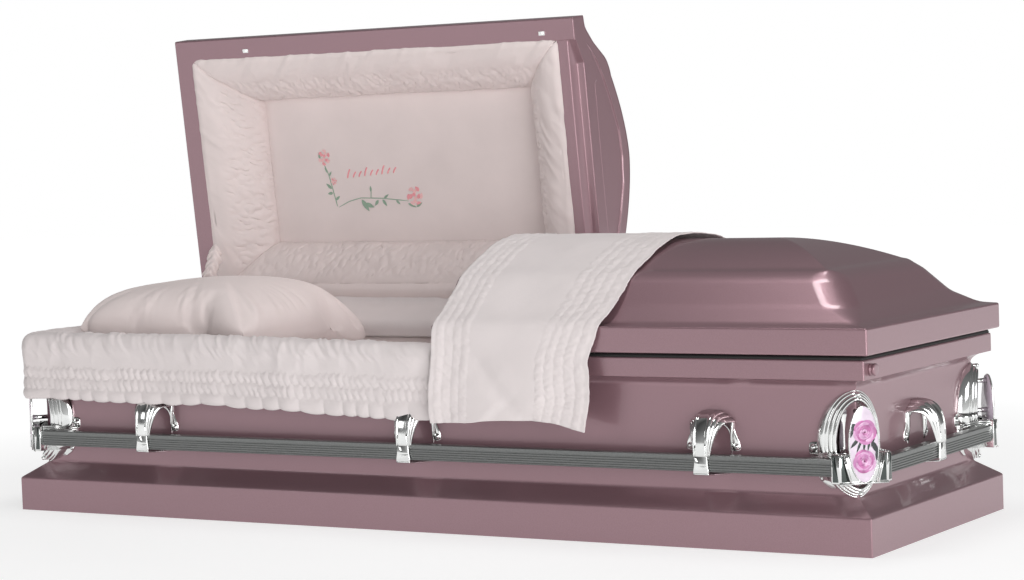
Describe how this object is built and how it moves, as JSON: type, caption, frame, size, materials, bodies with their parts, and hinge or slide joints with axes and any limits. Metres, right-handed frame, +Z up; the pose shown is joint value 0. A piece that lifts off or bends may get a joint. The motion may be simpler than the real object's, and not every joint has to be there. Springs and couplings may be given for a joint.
{
  "type": "half-couch funeral casket",
  "caption": "Half-couch steel casket with a hinged head lid standing open, a shut foot lid, chrome handles, crepe interior, pillow and throw.",
  "frame": {"origin": "centre of the underside, on the floor that the casket stands on", "axes": "+X towards the foot end, -Y towards the front, where the handles and the open side face the viewer, +Z up"},
  "size_m": [2.1614, 0.8923, 1.0902],
  "materials": {
    "paint": "metallic mauve enamel, gloss",
    "chrome": "bright plated castings",
    "fluted": "satin grey with bright edges",
    "rubber": "black seal",
    "enamel": "gloss printed oval with a bright edge",
    "crepe": "pale pink crepe",
    "bed": "plain grey paint"
  },
  "bodies": {
    "casket": {"front_side_panel": "paint", "rear_side_panel": "paint", "foot_end_panel": "paint", "head_end_panel": "paint", "bottom_pan": "paint", "rim_gasket": "rubber", "lock_plug": "paint", "front_bar": "fluted", "rear_bar": "fluted", "foot_bar": "fluted", "head_bar": "fluted", "front_arm_head": "chrome", "front_arm_middle": "chrome", "front_arm_foot": "chrome", "rear_arm_head": "chrome", "rear_arm_middle": "chrome", "rear_arm_foot": "chrome", "foot_arm": "chrome", "head_arm": "chrome", "casting_front_foot": "chrome", "casting_front_head": "chrome", "casting_rear_foot": "chrome", "casting_rear_head": "chrome", "medallion_front_foot": "enamel", "medallion_front_head": "enamel", "medallion_rear_foot": "enamel", "medallion_rear_head": "enamel", "lining_front": "crepe", "lining_rear": "crepe", "lining_foot": "crepe", "lining_head": "crepe", "bed_frame": "bed", "mattress": "crepe", "pillow": "crepe", "skirt_front": "crepe", "skirt_head": "crepe", "rear_apron": "crepe", "stay_sleeve": "crepe", "body_hinge_leaf_head_near": "paint", "body_hinge_leaf_head_far": "paint", "body_hinge_leaf_foot_near": "paint", "body_hinge_leaf_foot_far": "paint"},
    "head_lid": {"head_lid_shell": "paint", "head_lid_header": "paint", "lid_lining_front": "crepe", "lid_lining_rear": "crepe", "lid_lining_split": "crepe", "lid_lining_head": "crepe", "lid_panel": "crepe", "lid_catch_foot_side": "chrome", "lid_catch_head_side": "chrome", "head_hinge_leaf_near": "paint", "head_hinge_leaf_far": "paint"},
    "foot_lid": {"foot_lid_shell": "paint", "foot_lid_header": "paint", "foot_throw": "crepe", "foot_hinge_leaf_near": "paint", "foot_hinge_leaf_far": "paint"}
  },
  "joints": [
    {"name": "head_lid_hinge", "type": "hinge", "parent": "casket", "child": "head_lid", "pos_m": [-0.4865, 0.36995, 0.38], "axis": [-1, 0, 0], "range_deg": [-83.5, 0], "deforming": ["pillow", "skirt_front", "skirt_head", "rear_apron", "stay_sleeve"]},
    {"name": "foot_lid_hinge", "type": "hinge", "parent": "casket", "child": "foot_lid", "pos_m": [0.591, 0.36995, 0.38], "axis": [-1, 0, 0], "range_deg": [0, 83.5]}
  ]
}
